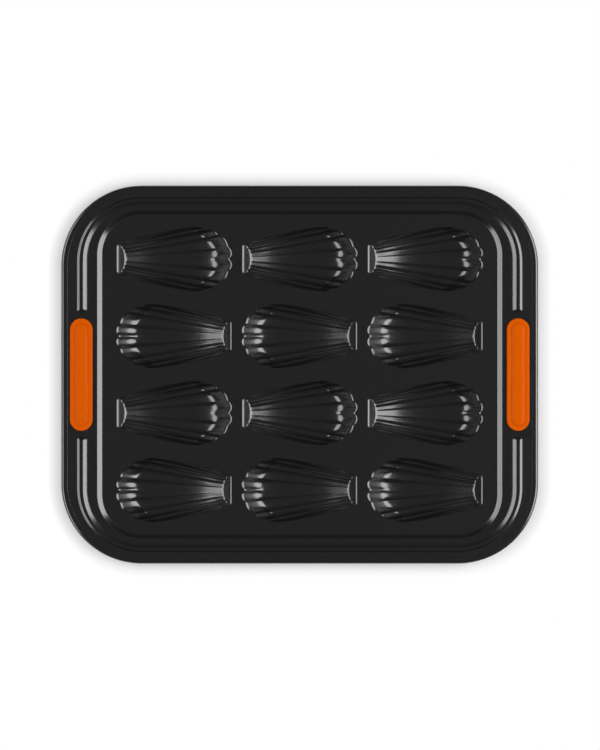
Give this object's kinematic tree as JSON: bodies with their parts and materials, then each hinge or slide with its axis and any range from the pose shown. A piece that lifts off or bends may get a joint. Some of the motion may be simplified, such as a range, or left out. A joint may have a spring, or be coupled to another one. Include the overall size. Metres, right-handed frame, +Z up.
{
  "type": "madeleine pan",
  "caption": "Shallow oblong baking pan with rounded corners, rows of fluted shell-shaped cups, a rolled wire rim and a silicone grip at each end.",
  "frame": {"origin": "centre of the footprint, on the surface that the pan stands on", "axes": "+X along the pan's length from grip to grip, +Y across it, +Z up out of the cups"},
  "size_m": [0.403, 0.3194, 0.02],
  "materials": {
    "nonstick_steel": "dark grey non-stick coating, satin, with a fine speckle",
    "rim_wire_steel": "plain drawn wire",
    "silicone": "orange silicone, satin"
  },
  "bodies": {
    "root": {"pan_deck": "nonstick_steel", "pan_flange": "nonstick_steel", "rolled_rim": "nonstick_steel", "rim_wire": "rim_wire_steel", "grip_left": "silicone", "grip_right": "silicone", "shell_cup_r1c1": "nonstick_steel", "shell_cup_r1c2": "nonstick_steel", "shell_cup_r1c3": "nonstick_steel", "shell_cup_r2c1": "nonstick_steel", "shell_cup_r2c2": "nonstick_steel", "shell_cup_r2c3": "nonstick_steel", "shell_cup_r3c1": "nonstick_steel", "shell_cup_r3c2": "nonstick_steel", "shell_cup_r3c3": "nonstick_steel", "shell_cup_r4c1": "nonstick_steel", "shell_cup_r4c2": "nonstick_steel", "shell_cup_r4c3": "nonstick_steel"}
  },
  "joints": []
}
